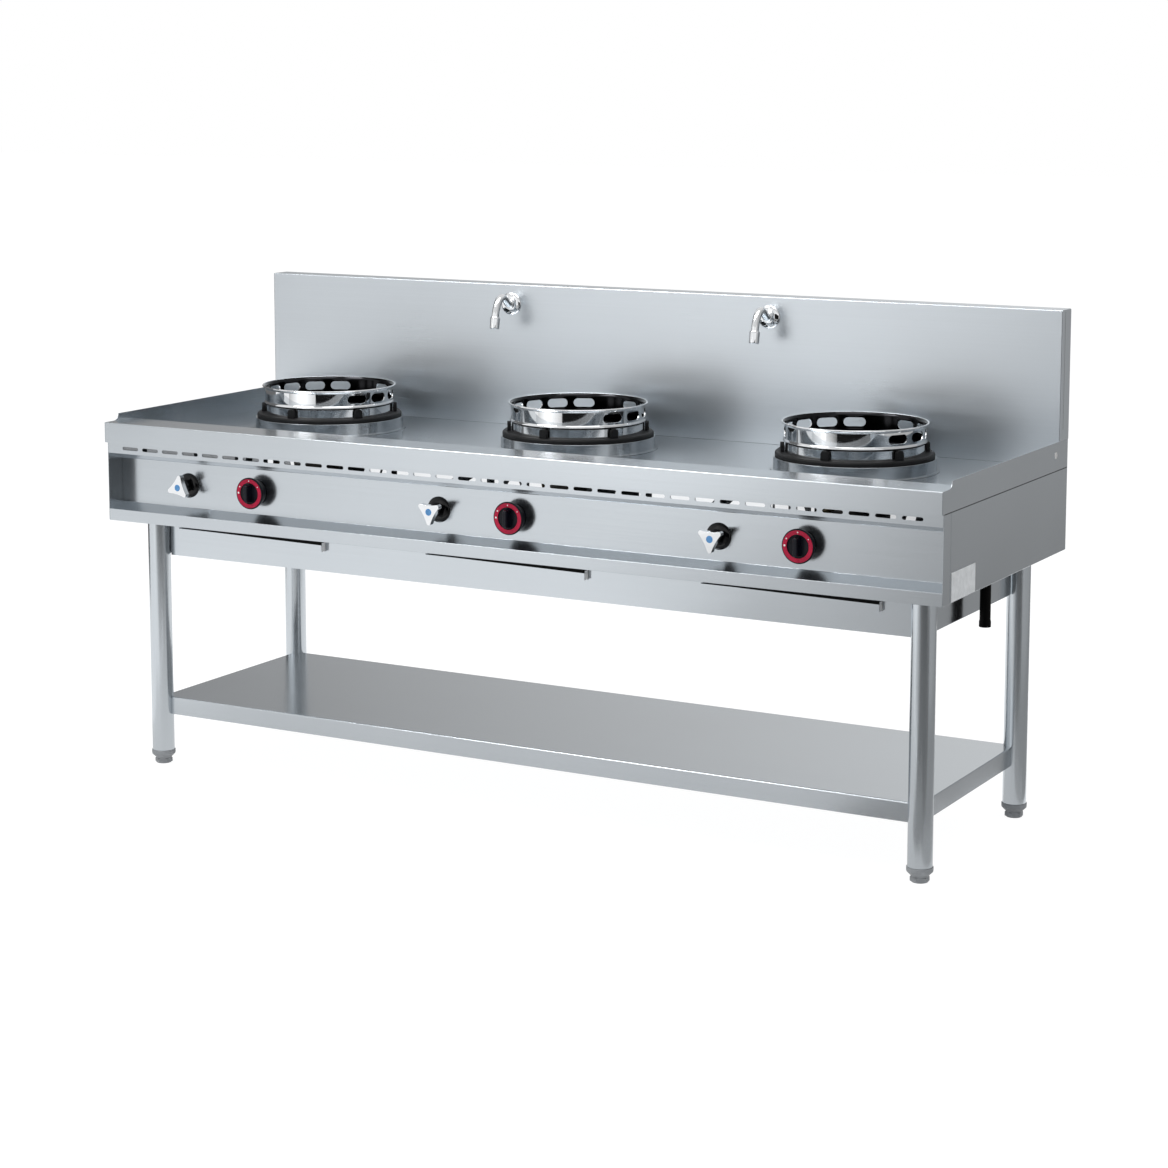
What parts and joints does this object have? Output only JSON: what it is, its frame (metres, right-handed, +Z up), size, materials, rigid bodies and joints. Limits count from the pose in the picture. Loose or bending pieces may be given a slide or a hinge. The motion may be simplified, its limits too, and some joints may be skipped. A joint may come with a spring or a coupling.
{
  "type": "wok range",
  "caption": "Gas wok range on legs: recessed steel worktop, chrome wok rings, gas knobs, water taps with wall spouts, slide-out drip trays, splashback and lower shelf.",
  "frame": {"origin": "centre of the footprint, on the floor", "axes": "+X to the right along the front, +Y from the front to the wall, +Z up"},
  "size_m": [2, 0.7, 1.079],
  "materials": {
    "brushed_stainless": "satin, brushed along the long side of each sheet",
    "bright_stainless": "bright, fine brush, nearly mirror",
    "galvanised_steel": "dull zinc",
    "chrome": "polished",
    "cast_iron": "matt black enamel",
    "black_plastic": "semi-gloss black",
    "brass": "machined",
    "tube_steel": "drawn tube",
    "grey_plastic": "satin grey"
  },
  "bodies": {
    "frame": {"worktop": "brushed_stainless", "splashback": "brushed_stainless", "vent_strip": "brushed_stainless", "control_panel": "brushed_stainless", "side_panel_left": "brushed_stainless", "side_panel_right": "brushed_stainless", "rear_panel": "brushed_stainless", "shelf": "brushed_stainless", "leg_front_left": "brushed_stainless", "leg_front_right": "brushed_stainless", "leg_rear_left": "brushed_stainless", "leg_rear_right": "brushed_stainless", "burner_collar_1": "brushed_stainless", "burner_collar_2": "brushed_stainless", "burner_collar_3": "brushed_stainless", "drip_housing": "bright_stainless", "drip_apron": "bright_stainless", "chassis_frame": "galvanised_steel", "gas_manifold": "galvanised_steel", "tray_runner_1": "galvanised_steel", "tray_runner_2": "galvanised_steel", "tray_runner_3": "galvanised_steel", "water_valve_1": "chrome", "water_valve_2": "chrome", "water_valve_3": "chrome", "spout_rosette_left": "chrome", "spout_rosette_right": "chrome", "drain_strainer": "chrome", "burner_1": "cast_iron", "burner_2": "cast_iron", "burner_3": "cast_iron", "drain_pipe": "black_plastic", "gas_valve_1": "brass", "gas_valve_2": "brass", "gas_valve_3": "brass", "water_manifold": "tube_steel", "water_tube_1": "tube_steel", "water_tube_2": "tube_steel", "water_tube_3": "tube_steel"},
    "tray_1": {"drip_tray_1": "bright_stainless"},
    "gas_knob_1": {"gas_knob_1": "black_plastic"},
    "water_handle_1": {"water_handle_1": "chrome"},
    "pan_support_1": {"pan_support_1": "cast_iron"},
    "wok_ring_1": {"wok_ring_1": "chrome"},
    "tray_2": {"drip_tray_2": "bright_stainless"},
    "gas_knob_2": {"gas_knob_2": "black_plastic"},
    "water_handle_2": {"water_handle_2": "chrome"},
    "pan_support_2": {"pan_support_2": "cast_iron"},
    "wok_ring_2": {"wok_ring_2": "chrome"},
    "tray_3": {"drip_tray_3": "bright_stainless"},
    "gas_knob_3": {"gas_knob_3": "black_plastic"},
    "water_handle_3": {"water_handle_3": "chrome"},
    "pan_support_3": {"pan_support_3": "cast_iron"},
    "wok_ring_3": {"wok_ring_3": "chrome"},
    "spout_left": {"spout_left": "chrome"},
    "spout_right": {"spout_right": "chrome"},
    "foot_front_left": {"foot_front_left": "grey_plastic"},
    "foot_front_right": {"foot_front_right": "grey_plastic"},
    "foot_rear_left": {"foot_rear_left": "grey_plastic"},
    "foot_rear_right": {"foot_rear_right": "grey_plastic"}
  },
  "joints": [
    {"name": "tray_slide_1", "type": "slide", "parent": "frame", "child": "tray_1", "axis": [0, -1, 0], "range_m": [0, 0.35]},
    {"name": "gas_knob_turn_1", "type": "hinge", "parent": "frame", "child": "gas_knob_1", "pos_m": [-0.626, -0.293, 0.654], "axis": [0, -1, 0], "range_deg": [0, 180]},
    {"name": "water_handle_turn_1", "type": "hinge", "parent": "frame", "child": "water_handle_1", "pos_m": [-0.811, -0.293, 0.654], "axis": [0, -1, 0], "range_deg": [0, 360]},
    {"name": "pan_support_lift_1", "type": "slide", "parent": "frame", "child": "pan_support_1", "axis": [0, 0, 1], "range_m": [0, 0.1]},
    {"name": "wok_ring_lift_1", "type": "slide", "parent": "pan_support_1", "child": "wok_ring_1", "axis": [0, 0, 1], "range_m": [0, 0.12]},
    {"name": "tray_slide_2", "type": "slide", "parent": "frame", "child": "tray_2", "axis": [0, -1, 0], "range_m": [0, 0.35]},
    {"name": "gas_knob_turn_2", "type": "hinge", "parent": "frame", "child": "gas_knob_2", "pos_m": [0.031, -0.293, 0.654], "axis": [0, -1, 0], "range_deg": [0, 180]},
    {"name": "water_handle_turn_2", "type": "hinge", "parent": "frame", "child": "water_handle_2", "pos_m": [-0.154, -0.293, 0.654], "axis": [0, -1, 0], "range_deg": [0, 360]},
    {"name": "pan_support_lift_2", "type": "slide", "parent": "frame", "child": "pan_support_2", "axis": [0, 0, 1], "range_m": [0, 0.1]},
    {"name": "wok_ring_lift_2", "type": "slide", "parent": "pan_support_2", "child": "wok_ring_2", "axis": [0, 0, 1], "range_m": [0, 0.12]},
    {"name": "tray_slide_3", "type": "slide", "parent": "frame", "child": "tray_3", "axis": [0, -1, 0], "range_m": [0, 0.35]},
    {"name": "gas_knob_turn_3", "type": "hinge", "parent": "frame", "child": "gas_knob_3", "pos_m": [0.688, -0.293, 0.654], "axis": [0, -1, 0], "range_deg": [0, 180]},
    {"name": "water_handle_turn_3", "type": "hinge", "parent": "frame", "child": "water_handle_3", "pos_m": [0.503, -0.293, 0.654], "axis": [0, -1, 0], "range_deg": [0, 360]},
    {"name": "pan_support_lift_3", "type": "slide", "parent": "frame", "child": "pan_support_3", "axis": [0, 0, 1], "range_m": [0, 0.1]},
    {"name": "wok_ring_lift_3", "type": "slide", "parent": "pan_support_3", "child": "wok_ring_3", "axis": [0, 0, 1], "range_m": [0, 0.12]},
    {"name": "spout_swing_left", "type": "hinge", "parent": "frame", "child": "spout_left", "pos_m": [-0.3285, 0.3, 1.034], "axis": [0, -1, 0], "range_deg": [-45, 45]},
    {"name": "spout_swing_right", "type": "hinge", "parent": "frame", "child": "spout_right", "pos_m": [0.3285, 0.3, 1.034], "axis": [0, -1, 0], "range_deg": [-45, 45]},
    {"name": "foot_turn_front_left", "type": "hinge", "parent": "frame", "child": "foot_front_left", "pos_m": [-0.927, -0.255, 0], "axis": [0, 0, 1], "continuous": true},
    {"name": "foot_turn_front_right", "type": "hinge", "parent": "frame", "child": "foot_front_right", "pos_m": [0.927, -0.255, 0], "axis": [0, 0, 1], "continuous": true},
    {"name": "foot_turn_rear_left", "type": "hinge", "parent": "frame", "child": "foot_rear_left", "pos_m": [-0.927, 0.27, 0], "axis": [0, 0, 1], "continuous": true},
    {"name": "foot_turn_rear_right", "type": "hinge", "parent": "frame", "child": "foot_rear_right", "pos_m": [0.927, 0.27, 0], "axis": [0, 0, 1], "continuous": true}
  ]
}
